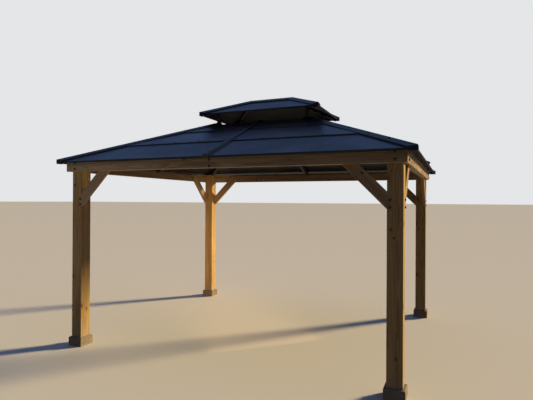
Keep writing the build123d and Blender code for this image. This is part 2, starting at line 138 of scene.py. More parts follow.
FINISH_OUTPUTS = {"Color": "NodeSocketColor", "Roughness": "NodeSocketFloat",
                  "Height": "NodeSocketFloat"}
MASK_OUTPUT = {"Mask": "NodeSocketFloat"}
KNOT_HALO = (0.17, 0.06, 0.02, 1.0)
KNOT_BROWN = (0.035, 0.014, 0.007, 1.0)
SPLIT_BROWN = (0.03, 0.014, 0.008, 1.0)


def grain_group():
    """Sawn softwood: growth rings round the heart, cathedral figure, streaks and knots."""
    n, given = shader_group(
        "sawn grain", {"Pale": (0.5, 0.27, 0.1, 1.0), "Dark": (0.2, 0.085, 0.03, 1.0),
                       "Ring Spacing": 0.007, "Knots": 0.55}, FINISH_OUTPUTS)
    grain = n.attribute("grain", "Vector")
    face = n.attribute("face_metres", "Vector")
    tone = n.attribute("tone", "Fac")

    # Knots, scattered over a board's faces, with the rings turned aside round each one
    cell = (0.36, 0.11, 1.0)
    stretch = (0.7, 1.0, 0.0)
    largest, least = 0.034, 0.0004
    spots = n.put("ShaderNodeTexVoronoi", {"Vector": n.vector("DIVIDE", face, cell),
                                           "Scale": 1.0}, voronoi_dimensions="2D")
    centre = n.vector("MULTIPLY", spots.outputs["Position"], cell)
    away = n.vector("MULTIPLY", n.vector("SUBTRACT", face, centre), stretch)
    distance = n.vector("LENGTH", away)
    chance = n.put("ShaderNodeSeparateColor", [spots.outputs["Color"]]).outputs[0]
    size = n.maths("MULTIPLY", n.maths("SUBTRACT", chance, given["Knots"]), largest)
    size = n.maths("MAXIMUM", size, least)
    knot = n.step(distance, n.maths("MULTIPLY", size, 0.7), n.maths("MULTIPLY", size, 1.15),
                  1.0, 0.0)
    halo = n.step(distance, n.maths("MULTIPLY", size, 1.0), n.maths("MULTIPLY", size, 3.2),
                  1.0, 0.0)

    # Growth rings round the heart, wandering along the board
    slow = n.vector("MULTIPLY", grain, (0.9, 5.0, 5.0))
    wander = n.put("ShaderNodeTexNoise", {"Vector": slow, "Scale": 1.0, "Detail": 2.0})
    shift = n.vector("MULTIPLY", n.vector("SUBTRACT", wander.outputs["Color"], (0.5, 0.5, 0.5)),
                     (0.0, 0.05, 0.05))
    across = n.vector("MULTIPLY", n.vector("ADD", grain, shift), (0.0, 1.0, 1.0))
    radius = n.maths("ADD", n.vector("LENGTH", across), n.maths("MULTIPLY", halo, 0.012))
    phase = n.maths("FRACT", n.maths("DIVIDE", radius, given["Ring Spacing"]))
    late = n.maths("MULTIPLY", n.step(phase, 0.3, 0.88), n.step(phase, 0.93, 1.0, 1.0, 0.0))

    # Broad bands of heartwood, long streaks and fine pores
    broad = n.noise(n.vector("MULTIPLY", grain, (0.7, 11.0, 11.0)), detail=2.0)
    streak = n.noise(n.vector("MULTIPLY", grain, (2.2, 85.0, 85.0)), detail=4.0, roughness=0.6)
    pores = n.noise(n.vector("MULTIPLY", grain, (9.0, 420.0, 420.0)), detail=2.0)
    figure = n.maths("ADD", n.maths("MULTIPLY", late, 0.42),
                     n.step(streak, 0.3, 0.72, 0.0, 0.5))
    figure = n.maths("ADD", figure, n.step(broad, 0.34, 0.68, -0.1, 0.32))
    figure = n.maths("ADD", figure, n.step(pores, 0.3, 0.7, -0.06, 0.06))
    figure = n.maths("ADD", figure, n.maths("MULTIPLY", n.maths("SUBTRACT", tone, 0.5), 0.3))
    colour = n.mix(figure, given["Pale"], given["Dark"])
    colour = n.mix(n.maths("MULTIPLY", halo, 0.45), colour, KNOT_HALO)
    colour = n.mix(n.maths("MULTIPLY", knot, 0.9), colour, KNOT_BROWN)

    # Drying checks, short dark splits that follow the grain
    split = n.noise(n.vector("MULTIPLY", grain, (1.1, 34.0, 34.0)), detail=1.0)
    split = n.maths("ABSOLUTE", n.maths("SUBTRACT", split, 0.5))
    where = n.noise(n.vector("MULTIPLY", grain, (1.7, 6.0, 6.0)), detail=0.0)
    check = n.maths("MULTIPLY", n.step(split, 0.004, 0.012, 1.0, 0.0), n.step(where, 0.6, 0.68))
    colour = n.mix(n.maths("MULTIPLY", check, 0.75), colour, SPLIT_BROWN)

    sheen = n.maths("ADD", 0.5, n.maths("MULTIPLY", streak, 0.16))
    sheen = n.maths("ADD", sheen, n.maths("MULTIPLY", knot, 0.12))
    height = n.maths("ADD", n.maths("MULTIPLY", late, 0.35), n.maths("MULTIPLY", streak, 0.6))
    height = n.maths("SUBTRACT", height, n.maths("MULTIPLY", check, 1.5))
    n.put("NodeGroupOutput", {"Color": colour, "Roughness": sheen, "Height": height})
    return n.tree


def worn_group():
    """Rubbed arrises: where the stain has worn thin along a board's eased edges."""
    n, given = shader_group("worn arrises", {"Wear": 0.5}, MASK_OUTPUT)
    patches = n.step(n.noise(n.spot(), detail=4.0, scale=9.0), 0.42, 0.62)
    mask = n.maths("MULTIPLY", n.attribute("arris", "Fac"), patches)
    n.put("NodeGroupOutput", {"Mask": n.maths("MULTIPLY", mask, given["Wear"])})
    return n.tree


def splash_group():
    """Dust and splashed dirt, thick at the foot and fading upward."""
    n, given = shader_group("splashed foot", {"Reach": 0.3, "Amount": 0.5}, MASK_OUTPUT)
    spot = n.spot()
    height = n.put("ShaderNodeSeparateXYZ", [spot]).outputs["Z"]
    ragged = n.noise(n.vector("MULTIPLY", spot, (22.0, 22.0, 9.0)), detail=4.0)
    level = n.maths("DIVIDE", height, given["Reach"])
    level = n.maths("ADD", level, n.maths("MULTIPLY", n.maths("SUBTRACT", ragged, 0.5), 1.4))
    mask = n.maths("MULTIPLY", n.step(level, 0.0, 1.0, 1.0, 0.0), given["Amount"])
    n.put("NodeGroupOutput", {"Mask": mask})
    return n.tree


GRAIN = grain_group()
WORN = worn_group()
SPLASH = splash_group()
SEEN_KNOT_BROWN = (0.045, 0.02, 0.01, 1.0)
RUBBED_WOOD = (0.58, 0.36, 0.17, 1.0)
SPLASHED_DIRT = (0.3, 0.235, 0.17, 1.0)


def stained_timber(name, pale, dark, rings, knots, wear=0.5, splash=0.0, rough=0.0,
                   seen_knots=()):
    """Stained softwood; seen_knots are (place, radius) of knots known from the real post."""
    material, n = new_material(name)
    grain = n.put("ShaderNodeGroup", {"Pale": pale, "Dark": dark, "Ring Spacing": rings,
                                      "Knots": knots}, node_tree=GRAIN).outputs
    colour = grain["Color"]
    for place, radius in seen_knots:
        away = n.vector("MULTIPLY", n.vector("SUBTRACT", n.spot(), place), (1.0, 1.0, 0.75))
        core = n.step(n.vector("LENGTH", away), radius * 0.6, radius * 1.3, 0.85, 0.0)
        colour = n.mix(core, colour, SEEN_KNOT_BROWN)
    worn = n.put("ShaderNodeGroup", {"Wear": wear}, node_tree=WORN).outputs["Mask"]
    colour = n.mix(worn, colour, RUBBED_WOOD)
    if splash:
        dirt = n.put("ShaderNodeGroup", {"Amount": splash}, node_tree=SPLASH).outputs["Mask"]
        colour = n.mix(dirt, colour, SPLASHED_DIRT)
    roughness = n.maths("ADD", grain["Roughness"], rough)
    n.surface(colour, roughness, gloss=0.4, height=grain["Height"], bump=0.35, depth=0.0012)
    return material


MERGE = 1e-5                 # corners nearer than this are one corner
FLAT = math.radians(1)       # faces that turn less than this are one face
BOARD_EASE = 0.003
SHARP = 0.3                  # edges that turn more radians than this are eased
ALONG = 0.3                  # faces that lean less than this run along the board,
END_GRAIN = 0.8              # and those that lean more than this are its ends
CLEARLY_WIDER = 1.001        # so that the pick between two equal faces stays the same
LOG_LENGTH = 40.0            # a board's figure starts anywhere along this
HEART_ACROSS = 0.05          # how far a log's heart may lie off its board's middle,
HEART_DEPTH = (0.05, 0.13)   # and how deep behind the face
END_OFFSET = 3.0             # metres between the patterns of a board's ends, edges and
EDGE_OFFSET = 7.0            # faces, so that no two show the same knots
FACE_OFFSET = 1.0


def boards_of(node):
    """Copy of a CAD node's boards, its corners merged and its flat faces made whole."""
    bm = bmesh.new()
    bm.from_mesh(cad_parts[node].data)
    bmesh.ops.remove_doubles(bm, verts=bm.verts, dist=MERGE)
    bmesh.ops.dissolve_limit(bm, angle_limit=FLAT, verts=bm.verts, edges=bm.edges)
    return bm


def separate_boards(bm):
    """The faces of each board in turn, always in the same order."""
    for face in bm.faces:
        face.tag = False
    for first in bm.faces:
        if first.tag:
            continue
        first.tag = True
        board = [first]
        for face in board:
            for edge in face.edges:
                for other in edge.link_faces:
                    if not other.tag:
                        other.tag = True
                        board.append(other)
        yield board


def board_axes(board):
    """Directions of a board's length, width and thickness."""
    longest = 0.0
    for face in board:
        for edge in face.edges:
            run = edge.verts[1].co - edge.verts[0].co
            if run.length > longest + MERGE:
                longest, length = run.length, run.normalized()
    if sum(length) < 0:
        length = -length
    widest = 0.0
    for face in board:
        leaning = abs(face.normal.dot(length))
        if leaning < ALONG and face.calc_area() > widest * CLEARLY_WIDER:
            widest = face.calc_area()
            thickness = (face.normal - length * face.normal.dot(length)).normalized()
    return length, thickness.cross(length), thickness


def ease_arrises(bm, ease):
    """Round the boards' sharp outer edges, and mark the rounding as arris."""
    arris = bm.faces.layers.float.new("arris")
    bm.normal_update()
    sharp = [edge for edge in bm.edges
             if edge.is_manifold and edge.is_convex and edge.calc_face_angle() > SHARP]
    eased = bmesh.ops.bevel(bm, geom=sharp, offset=ease, segments=2, profile=0.5,
                            affect="EDGES", clamp_overlap=True)
    for face in eased["faces"]:
        face[arris] = 1.0
    bm.normal_update()


def lay_grain(bm, chance, heart):
    """Give each board its own log: the place in it, its tone and the pattern on each face."""
    grain = bm.verts.layers.float_vector.new("grain")
    tone = bm.verts.layers.float.new("tone")
    metres = bm.loops.layers.uv.new("face_metres")
    for board in separate_boards(bm):
        length, width, thickness = board_axes(board)
        corners = [vert for face in board for vert in face.verts]
        middle = sum((vert.co for vert in corners), Vector()) / len(corners)
        start = chance.uniform(0, LOG_LENGTH)
        shade = chance.random()
        if heart is None:
            across = chance.uniform(-HEART_ACROSS, HEART_ACROSS)
            deep = chance.choice((-1, 1)) * chance.uniform(*HEART_DEPTH)
        else:
            across = chance.uniform(-heart, heart)
            deep = chance.uniform(-heart, heart)
        for vert in corners:
            offset = vert.co - middle
            vert[grain] = (offset.dot(length) + start, offset.dot(width) + across,
                           offset.dot(thickness) + deep)
            vert[tone] = shade
        for face in board:
            end, side = abs(face.normal.dot(length)), abs(face.normal.dot(width))
            if end > END_GRAIN:
                first, second, turn = width, thickness, END_OFFSET
            elif side > abs(face.normal.dot(thickness)):
                first, second = length, thickness
                turn = math.copysign(EDGE_OFFSET, face.normal.dot(width))
            else:
                first, second = length, width
                turn = math.copysign(FACE_OFFSET, face.normal.dot(thickness))
            for loop in face.loops:
                offset = loop.vert.co - middle
                loop[metres].uv = (offset.dot(first) + start, offset.dot(second) + turn)


def timber_piece(name, bm, material, chance, ease=BOARD_EASE, heart=None):
    """Finish boards as one piece; heart is how far a log's heart may lie off the middle."""
    ease_arrises(bm, ease)
    lay_grain(bm, chance, heart)
    bmesh.ops.triangulate(bm, faces=[face for face in bm.faces if len(face.verts) > 4])
    mesh = bpy.data.meshes.new(name)
    bm.to_mesh(mesh)
    bm.free()
    mesh.materials.append(material)
    piece = bpy.data.objects.new(name, mesh)
    bpy.context.scene.collection.objects.link(piece)
    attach(piece, "root")
    return piece


post_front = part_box("post_front_left")[0].y
left_head_knot = (Vector((-1.846, post_front, 1.892)), 0.014)
right_middle_knot = (Vector((1.803, post_front, 1.397)), 0.009)
right_foot_knot = (Vector((1.824, post_front, 0.36)), 0.013)
post_timber = stained_timber(
    "stained posts", pale=(0.46, 0.3, 0.118, 1.0), dark=(0.23, 0.13, 0.046, 1.0),
    rings=0.009, knots=0.5, splash=0.6,
    seen_knots=(left_head_knot, right_middle_knot, right_foot_knot))
post_chance = random.Random(3)
for corner in CORNERS:
    post = timber_piece(f"post_{corner}_timber", boards_of(f"post_{corner}"), post_timber,
                        post_chance, ease=POST_EASE, heart=POST_HEART)
    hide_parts(f"post_{corner}")

# Skirting boxes. Four short softwood boards mitred and pinned round the foot of each
# post, bevelled along the top, and greyed by sun and splashing.
SKIRT_BEVEL = 0.006
SKIRT_EASE = 0.0015
SKIRT_FIT = 0.0003           # clearance round the post
MITRE_GAP = 0.0004
skirt_timber = stained_timber(
    "weathered skirting", pale=(0.2, 0.145, 0.095, 1.0), dark=(0.075, 0.05, 0.032, 1.0),
    rings=0.006, knots=0.75, wear=0.35, splash=0.45, rough=0.15)
skirt_chance = random.Random(11)
for corner in CORNERS:
    low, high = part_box(f"base_trim_{corner}")
    post_low, post_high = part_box(f"post_{corner}")
    foot = Vector(((low.x + high.x) / 2, (low.y + high.y) / 2, 0))
    outside = (high.x - low.x) / 2
    inside = (post_high.x - post_low.x) / 2 + SKIRT_FIT
    top = high.z
    profile = ((inside, 0.0), (outside, 0.0), (outside, top - SKIRT_BEVEL),
               (outside - SKIRT_BEVEL, top), (inside, top))
    bm = bmesh.new()
    for quarter in range(4):
        turn = Matrix.Rotation(quarter * math.pi / 2, 3, "Z")
        ends = []
        for hand in (-1, 1):
            outline = [Vector((hand * (out - MITRE_GAP), -out, z)) for out, z in profile]
            ends.append([bm.verts.new(foot + turn @ point) for point in outline])
        bm.faces.new(ends[0])
        bm.faces.new(ends[1][::-1])
        for one in range(len(profile)):
            two = (one + 1) % len(profile)
            bm.faces.new((ends[0][two], ends[0][one], ends[1][one], ends[1][two]))
    bmesh.ops.recalc_face_normals(bm, faces=bm.faces)
    skirt = timber_piece(f"base_trim_{corner}_timber", bm, skirt_timber, skirt_chance,
                         ease=SKIRT_EASE)
    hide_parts(f"base_trim_{corner}")

# Knee braces. Short boards at 45 degrees, housed into the posts at the foot and bolted
# flat behind the outer plies at the head.
brace_timber = stained_timber(
    "stained braces", pale=(0.43, 0.29, 0.155, 1.0), dark=(0.2, 0.12, 0.058, 1.0),
    rings=0.006, knots=0.62)
brace_chance = random.Random(23)
for corner in CORNERS:
    end, hand = corner.split("_")
    for node in (f"brace_{end}_beam_{hand}", f"brace_{hand}_beam_{end}"):
        brace = timber_piece(f"{node}_timber", boards_of(node), brace_timber, brace_chance)
        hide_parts(node)

# Beams. Two plies of sawn board on every side: the outer laps the posts and stands
# higher, stained greyer than the posts; the inner, in the plane of the braces, is coloured
# darker as painted shade under the roof. Long plies are butted from two boards.
SIDES = {"front": Vector((0, -1, 0)), "rear": Vector((0, 1, 0)),
         "left": Vector((-1, 0, 0)), "right": Vector((1, 0, 0))}     # the way out of each
beam_timber = stained_timber(
    "stained beams", pale=(0.44, 0.315, 0.195, 1.0), dark=(0.19, 0.125, 0.073, 1.0),
    rings=0.008, knots=0.6)
# The inner plies are coloured darker than the outer ones, as painted shade under the roof.
inner_painted_shade_timber = stained_timber(
    "inner plies darkened as painted shade", pale=(0.3, 0.19, 0.095, 1.0), dark=(0.13, 0.073, 0.034, 1.0),
    rings=0.008, knots=0.6)
beam_chance = random.Random(31)
for side in SIDES:
    for ply, timber in (("outer", beam_timber), ("inner", inner_painted_shade_timber)):
        node = f"{side}_beam_{ply}_ply"
        beam = timber_piece(f"{node}_timber", boards_of(node), timber, beam_chance)
        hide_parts(node)

# Bolts. Blackened steel hexagon heads on round washers: through the outer plies, two over
# each post and two at the middle of the long sides; two in the foot of every brace; on the
# inside, one in each brace head and four at the joints of the long inner plies.
BOLT = {"Washer": 0.026, "Washer Thickness": 0.0024, "Head": 0.019, "Head Height": 0.0076}
OVER_POST = (0.028, 0.096)           # heights above the beam's underside
MID_SPAN = (0.017, 0.082)
MID_SPAN_X = -0.01
BRACE_FOOT_INSET = 0.024             # from the post's inner edge, towards its middle
BRACE_FOOT_HEIGHTS = (1.66, 1.727)
BRACE_HEAD_REACH = 0.43              # from the post's inner face
BRACE_HEAD_HEIGHT = 0.065
INNER_JOINT_X = -0.87                # the open joint between the two inner boards
INNER_JOINT_SPREAD = (0.037, 0.052)
INNER_JOINT_DROP = 0.012             # below the middle of the ply
BOLT_SCATTER = 0.0025
OUTSIDE = 3.0                        # how far out the lines start that find a bolt's seat,
INSIDE = 1.5                         # and how far in, for the bolts on the inside
WASHER_SIDES = 16
WASHER_TOP = 0.95                    # width at the top, as a share of that at the bottom
CROWN_TOP = 0.78
STRAIGHT = 0.8                       # share of a head's height below its crown


def hexagon_heads():
    """Geometry nodes: on each point a washer and a hexagon head, facing its "out" vector."""
    tree = bpy.data.node_groups.new("hexagon heads", "GeometryNodeTree")
    face = tree.interface
    face.new_socket("Geometry", in_out="INPUT", socket_type="NodeSocketGeometry")
    for label in ("Washer", "Washer Thickness", "Head", "Head Height"):
        face.new_socket(label, in_out="INPUT", socket_type="NodeSocketFloat")
    face.new_socket("Seed", in_out="INPUT", socket_type="NodeSocketInt")
    face.new_socket("Finish", in_out="INPUT", socket_type="NodeSocketMaterial")
    face.new_socket("Geometry", in_out="OUTPUT", socket_type="NodeSocketGeometry")
    n = Nodes(tree)
    given = n.put("NodeGroupInput").outputs

    def disc(sides, across, top, depth, lift):
        """Low cone of a width across its corners, standing on a height."""
        radius = n.maths("MULTIPLY", across, 0.5)
        cone = n.put("GeometryNodeMeshCone", {
            "Vertices": sides, "Radius Bottom": radius,
            "Radius Top": n.maths("MULTIPLY", radius, top), "Depth": depth})
        up = n.put("ShaderNodeCombineXYZ", {"Z": lift}).outputs[0]
        return n.put("GeometryNodeTransform", {
            "Geometry": cone.outputs["Mesh"], "Translation": up}).outputs[0]

    side = n.maths("MULTIPLY", given["Head Height"], STRAIGHT)
    crown = n.maths("MULTIPLY", given["Head Height"], 1 - STRAIGHT)
    seat = given["Washer Thickness"]
    joined = n.put("GeometryNodeJoinGeometry")
    for part in (disc(WASHER_SIDES, given["Washer"], WASHER_TOP, seat, 0.0),
                 disc(6, given["Head"], 1.0, side, seat),
                 disc(6, given["Head"], CROWN_TOP, crown, n.maths("ADD", seat, side))):
        tree.links.new(part, joined.inputs[0])
    out = n.put("GeometryNodeInputNamedAttribute", {"Name": "out"},
                data_type="FLOAT_VECTOR").outputs[0]
    facing = n.put("FunctionNodeAlignRotationToVector", {"Vector": out}, axis="Z").outputs[0]
    least, most, seed = 2, 3, 8      # numbers of the inputs whose names repeat
    turn = n.put("FunctionNodeRandomValue", {least: 0.0, most: math.pi, seed: given["Seed"]},
                 data_type="FLOAT").outputs[1]
    spin = n.put("FunctionNodeAxisAngleToRotation", {"Axis": (0.0, 0.0, 1.0), "Angle": turn})
    turned = n.put("FunctionNodeRotateRotation", {"Rotation": facing,
                                                  "Rotate By": spin.outputs[0]},
                   rotation_space="LOCAL").outputs[0]
    placed = n.put("GeometryNodeInstanceOnPoints", {
        "Points": given["Geometry"], "Instance": joined.outputs[0], "Rotation": turned})
    real = n.put("GeometryNodeRealizeInstances", [placed.outputs[0]])
    finished = n.put("GeometryNodeSetMaterial", {"Geometry": real.outputs[0],
                                                 "Material": given["Finish"]})
    n.put("NodeGroupOutput", [finished.outputs[0]])
    return tree


HEADS = hexagon_heads()


def seats(node, starts, direction):
    """Where straight lines from the starts first meet a CAD node, with the normals there."""
    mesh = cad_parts[node].data
    tree = BVHTree.FromPolygons([vert.co for vert in mesh.vertices],
                                [tuple(face.vertices) for face in mesh.polygons])
    hits = (tree.ray_cast(start, direction) for start in starts)
    return [(place, normal) for place, normal, *rest in hits if place is not None]


def heads_piece(name, places, sizes, finish, seed):
    """One mesh of hexagon heads, each standing on its place and facing its normal."""
    mesh = bpy.data.meshes.new(name)
    mesh.from_pydata([place for place, normal in places], [], [])
    out = mesh.attributes.new("out", "FLOAT_VECTOR", "POINT")
    for item, (place, normal) in zip(out.data, places):
        item.vector = normal
    piece = bpy.data.objects.new(name, mesh)
    bpy.context.scene.collection.objects.link(piece)
    modifier = piece.modifiers.new("heads", "NODES")
    modifier.node_group = HEADS
    values = dict(sizes, Seed=seed, Finish=finish)
    for item in HEADS.interface.items_tree:
        if item.in_out == "INPUT" and item.name in values:
            modifier[item.identifier] = values[item.name]
    shown = piece.evaluated_get(bpy.context.evaluated_depsgraph_get())
    baked = bpy.data.meshes.new_from_object(shown)
    piece.modifiers.clear()
    piece.data = baked
    baked.name = name
    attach(piece, "root")


DULL_BLACK = (0.016, 0.016, 0.017, 1.0)
CLOUDY_BLACK = (0.032, 0.028, 0.025, 1.0)
RUST = (0.09, 0.04, 0.018, 1.0)


def blackened_steel():
    """Black-coated steel, dulled in clouds, with specks of rust."""
    material, n = new_material("blackened steel")
    spot = n.spot()
    cloud = n.noise(spot, detail=3.0, scale=120.0)
    speck = n.noise(spot, detail=2.0, scale=900.0)
    colour = n.mix(n.step(cloud, 0.35, 0.65), DULL_BLACK, CLOUDY_BLACK)
    colour = n.mix(n.step(speck, 0.6, 0.72, 0.0, 0.55), colour, RUST)
    n.surface(colour, n.step(cloud, 0.3, 0.7, 0.38, 0.62), gloss=0.45, height=speck,
              bump=0.3, depth=0.0003)
    return material


black_steel = blackened_steel()
bolt_chance = random.Random(59)


def scattered(place):
    """The place, moved a little, as holes drilled by hand are."""
    return place + Vector([bolt_chance.uniform(-BOLT_SCATTER, BOLT_SCATTER) for axis in "xyz"])


for side, out in SIDES.items():
    outer, inner = f"{side}_beam_outer_ply", f"{side}_beam_inner_ply"
    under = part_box(outer)[0].z
    ends = [corner for corner in CORNERS if side in corner.split("_")]
    post_boxes = [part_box(f"post_{corner}") for corner in ends]
    middles = [(low + high) / 2 for low, high in post_boxes]
    along = (middles[1] - middles[0]).normalized()
    half_post = (post_boxes[0][1].x - post_boxes[0][0].x) / 2
    starts = []
    for middle in middles:
        starts += [Vector((middle.x, middle.y, under + height)) for height in OVER_POST]
    if side in ("front", "rear"):
        starts += [Vector((MID_SPAN_X, middles[0].y, under + height)) for height in MID_SPAN]
    places = seats(outer, [scattered(start) + out * OUTSIDE for start in starts], -out)
    heads_piece(f"{side}_beam_bolts", places, BOLT, black_steel, seed=1)

    places = []
    for corner, middle, hand in zip(ends, middles, (1, -1)):
        foot = middle + along * hand * (half_post - BRACE_FOOT_INSET)
        head = middle + along * hand * (half_post + BRACE_HEAD_REACH)
        end = next(word for word in corner.split("_") if word != side)
        brace = f"brace_{side}_beam_{end}"
        feet = [Vector((foot.x, foot.y, height)) for height in BRACE_FOOT_HEIGHTS]
        places += seats(brace, [scattered(one) + out * OUTSIDE for one in feet], -out)
        inside = Vector((head.x, head.y, under + BRACE_HEAD_HEIGHT)) - out * INSIDE
        places += seats(brace, [scattered(inside)], out)
    heads_piece(f"{side}_brace_bolts", places, BOLT, black_steel, seed=2)

    if side in ("front", "rear"):
        wide, tall = INNER_JOINT_SPREAD
        middle_height = (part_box(inner)[0].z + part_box(inner)[1].z) / 2 - INNER_JOINT_DROP
        starts = [Vector((INNER_JOINT_X + across * wide, 0, middle_height + up * tall / 2))
                  for across in (-1, 1) for up in (-1, 1)]
        places = seats(inner, [scattered(start) for start in starts], out)
        heads_piece(f"{side}_beam_joint_bolts", places, BOLT, black_steel, seed=3)

# Roof timbers. Hip and middle rafters, purlins and the ring round the vent opening,
# sawn from the same stock, stained a very dark brown that also paints the deep shade
# under the roof, and screwed from the sides.
ROOF_EASE = 0.002
# Very dark brown, and in part painted shade for the deep shade under the roof.
roof_timber_with_painted_shade = stained_timber(
    "very dark roof timbers with painted shade", pale=(0.032, 0.021, 0.014, 1.0), dark=(0.014, 0.009, 0.006, 1.0),
    rings=0.006, knots=0.6, wear=0.3)
roof_chance = random.Random(47)
roof_nodes = [f"hip_rafter_{corner}" for corner in CORNERS]
roof_nodes += ["mid_rafters", "purlins_front_and_rear", "purlins_right_and_left",
               "opening_ring_long_boards", "opening_ring_short_boards"]
for node in roof_nodes:
    piece = timber_piece(f"{node}_timber", boards_of(node), roof_timber_with_painted_shade, roof_chance,
                         ease=ROOF_EASE)
    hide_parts(node)

# Raised roof's frame. Short struts, hip rafters and a ridge board of thin stock, coloured
# nearly black as painted shade, so that the vent reads as one dark band under the raised roof.
RAISED_EASE = 0.0015
# Nearly black as painted shade, for the shade under the raised roof.
raised_painted_shade_timber = stained_timber(
    "raised frame nearly black as painted shade", pale=(0.008, 0.007, 0.0065, 1.0),
    dark=(0.004, 0.0036, 0.0034, 1.0), rings=0.005, knots=0.75, wear=0.02)
raised_chance = random.Random(71)
for node in ("cupola_struts", "cupola_hip_rafters", "cupola_ridge_board"):
    piece = timber_piece(f"{node}_timber", boards_of(node), raised_painted_shade_timber, raised_chance,
                         ease=RAISED_EASE)
    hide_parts(node)

# Roof covering. Lapped steel sheets and folded covers over hips, ridge and middle joints,
# powder-coated a blue-black satin and streaked with dust. The underside of the short slopes
# and of the raised roof has a matt backing coat; the covers are darkened as painted shade.
COAT_DARK = (0.0075, 0.0085, 0.013, 1.0)
COAT_PALE = (0.011, 0.0125, 0.018, 1.0)
COAT_SPECK = (0.022, 0.025, 0.032, 1.0)
COAT_DUST = (0.11, 0.1, 0.088, 1.0)
COAT_RUBBED = (0.05, 0.052, 0.055, 1.0)
COAT_PAINTED_SHADE = (0.0015, 0.0018, 0.0028, 1.0)
FOLD_RADIUS = 0.003


def coat_group():
    """Powder coat on thin sheet: oil-canning, fine texture, dust, streaks, rubbed folds and
    painted shade.
    """
    n, given = shader_group(
        "powder coat", {"Dust": 0.18, "Rub": 0.6, "Painted Shade": 0.0, "Matt Below": 0.0,
                        "Run X": 6.0, "Run Y": 6.0}, FINISH_OUTPUTS)
    spot = n.spot()
    runs = n.put("ShaderNodeCombineXYZ", [given["Run X"], given["Run Y"], 0.8]).outputs[0]
    run = n.noise(n.vector("MULTIPLY", spot, runs), detail=4.0, roughness=0.6)
    cloud = n.noise(spot, detail=3.0, scale=1.7)
    speck = n.noise(spot, detail=2.0, scale=160.0)
    dust = n.maths("MULTIPLY", n.step(run, 0.42, 0.75), n.step(cloud, 0.35, 0.7, 0.25, 1.0))
    dust = n.maths("MULTIPLY", dust, given["Dust"])
    colour = n.mix(n.step(cloud, 0.3, 0.7), COAT_DARK, COAT_PALE)
    colour = n.mix(n.step(speck, 0.35, 0.65, 0.0, 0.3), colour, COAT_SPECK)
    colour = n.mix(dust, colour, COAT_DUST)
    rounded = n.put("ShaderNodeBevel", {"Radius": FOLD_RADIUS}, samples=4).outputs[0]
    flat = n.put("ShaderNodeNewGeometry").outputs["True Normal"]
    turn = n.vector("LENGTH", n.vector("SUBTRACT", rounded, flat))
    rubbed = n.maths("MULTIPLY", n.step(turn, 0.1, 0.5), n.step(run, 0.35, 0.6, 0.15, 0.8))
    rubbed = n.maths("MULTIPLY", rubbed, given["Rub"])
    colour = n.mix(rubbed, colour, COAT_RUBBED)
    # Darkens the coat towards near black as painted shade, by the share given.
    colour = n.mix(given["Painted Shade"], colour, COAT_PAINTED_SHADE)
    rough = n.maths("ADD", n.step(cloud, 0.3, 0.7, 0.3, 0.4), n.maths("MULTIPLY", dust, 0.35))
    facing = n.put("ShaderNodeSeparateXYZ", [flat]).outputs["Z"]
    below = n.step(facing, -0.4, 0.0, 1.0, 0.0)
    rough = n.maths("ADD", rough, n.maths("MULTIPLY", below, given["Matt Below"]))
    wave = n.noise(n.vector("MULTIPLY", spot, (1.5, 1.5, 3.0)), detail=1.0)
    height = n.maths("ADD", n.maths("MULTIPLY", wave, 2.0), n.maths("MULTIPLY", speck, 0.02))
    n.put("NodeGroupOutput", {"Color": colour, "Roughness": rough, "Height": height})
    return n.tree


COAT = coat_group()


def coated_steel(name, values, gloss=0.5):
    """Powder-coated sheet steel; values are those of the coat that aren't its defaults."""
    material, n = new_material(name)
    coat = n.put("ShaderNodeGroup", values, node_tree=COAT).outputs
    n.surface(coat["Color"], coat["Roughness"], gloss, height=coat["Height"], bump=0.5,
              depth=0.01)
    return material


long_coat = coated_steel("coated steel long slopes", {"Run X": 14.0, "Run Y": 0.8})
short_coat = coated_steel("coated steel short slopes",
                          {"Run X": 0.8, "Run Y": 14.0, "Matt Below": 0.5})
raised_coat = coated_steel("coated steel raised roof",
                           {"Run X": 14.0, "Run Y": 0.8, "Matt Below": 0.5})
# The covers' coat is darkened most of the way to near black as painted shade; the roof screws
# share it.
covers_painted_shade_coat = coated_steel("coated steel covers with painted shade", {"Dust": 0.0, "Rub": 0.15, "Painted Shade": 0.6},
                          gloss=0.42)
for node, coat in (("roof_sheets_front", long_coat), ("roof_sheets_rear", long_coat),
                   ("roof_sheets_left", short_coat), ("roof_sheets_right", short_coat),
                   ("hip_covers", covers_painted_shade_coat), ("mid_slope_covers", covers_painted_shade_coat),
                   ("cupola_roof_sheets", raised_coat), ("cupola_covers", covers_painted_shade_coat)):
    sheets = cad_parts[node]
    sheets.data.materials.clear()
    sheets.data.materials.append(coat)

# Roof screws. Small self-drilling hexagon screws on sealing washers, coated like the
# covers: along the folded noses into the purlins, down the crowns of the channels, and
# beside the crowns of the caps.
SCREW = {"Washer": 0.015, "Washer Thickness": 0.002, "Head": 0.0095, "Head Height": 0.0045}
NOSE_SCREWS_IN = 0.022               # up the slope from a nose
NOSE_SCREWS_FROM = 0.07              # the first one's distance from the middle joint,
NOSE_SCREWS_CLEAR = 0.1              # and the last one's from the hip
NOSE_SCREW_GAP = 0.42
SEAMS = (0.5, 1.0)                   # level distance of the noses from the eave
CAP_SCREWS = (0.06, 0.25, 0.48, 0.72, 0.98, 1.2)
CAP_FACE = 0.02                      # screws stand this far down one side of the crown
CHANNEL_SCREWS = (0.05, 0.47, 0.97, 1.29)
RAISED_SCREWS = (0.06, 0.26, 0.44)
RIDGE_SCREWS = (-0.2, 0.2)
ABOVE = 4.0                          # where the plumb lines start that find a screw's seat
DOWN = Vector((0, 0, -1))


def screw_row(first, last, gap):
    """Evenly spaced places from first to last, no further apart than the gap."""
    count = max(1, math.ceil((last - first) / gap))
    return [first + (last - first) * step / count for step in range(count + 1)]


